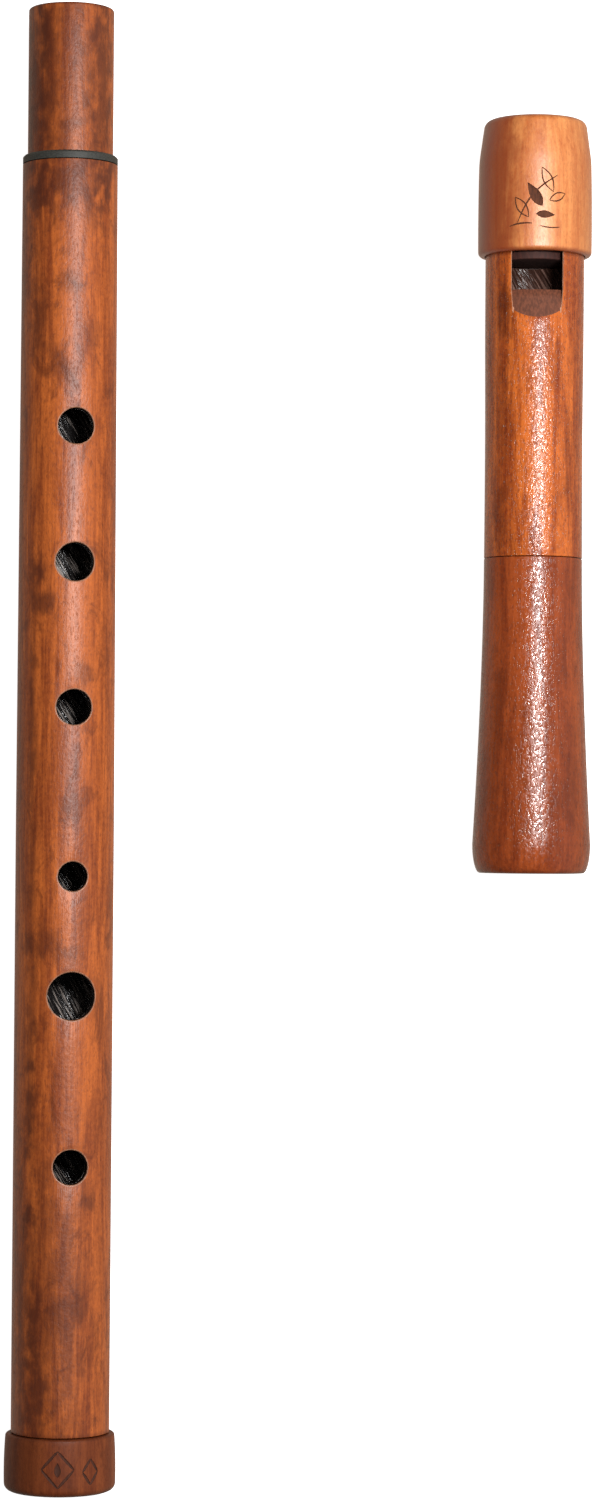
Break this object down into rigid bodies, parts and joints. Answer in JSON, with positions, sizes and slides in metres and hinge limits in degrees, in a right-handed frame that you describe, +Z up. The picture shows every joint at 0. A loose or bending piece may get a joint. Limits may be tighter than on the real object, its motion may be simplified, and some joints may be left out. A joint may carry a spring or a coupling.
{
  "type": "low whistle",
  "caption": "Two-piece wooden low whistle laid out apart: body with finger holes, tenon and foot ferrule, and a head with window, ramp, turned cap and flared socket barrel.",
  "frame": {"origin": "on the table, under the middle of the two pieces as they are laid out", "axes": "+Y along both pieces, from the foot to the tenon and from the socket to the blowing end; +X from the body to the head; +Z up, the way the window faces"},
  "size_m": [0.1378, 0.3516, 0.028],
  "materials": {
    "body_wood": "red-brown stained, satin oil",
    "ferrule_wood": "red-brown stained, satin oil",
    "barrel_wood": "dark red-brown stained, glossy oil",
    "head_wood": "orange-brown stained, glossy oil",
    "block_wood": "matte, unfinished in the windway",
    "cap_wood": "light orange-tan, satin oil",
    "ring_black": "matte black",
    "bore_fibre": "glossy black wound fibre",
    "socket_cork": "bare cork"
  },
  "bodies": {
    "body": {"body_tube": "body_wood", "body_liner": "bore_fibre", "foot_ferrule": "ferrule_wood", "shoulder_ring": "ring_black"},
    "socket_sleeve": {"socket_cork": "socket_cork"},
    "head": {"socket_barrel": "barrel_wood", "head_tube": "head_wood", "head_liner": "bore_fibre", "fipple_block": "block_wood", "windway_cap": "cap_wood"}
  },
  "joints": [
    {"name": "head_line_up", "type": "slide", "parent": "body", "child": "socket_sleeve", "axis": [-0.3818, 0.9243, -0.0027], "range_m": [0, 0.28996]},
    {"name": "head_turn", "type": "hinge", "parent": "socket_sleeve", "child": "head", "pos_m": [0.05496, 0, 0.01399], "axis": [0, 1, 0], "continuous": true}
  ]
}
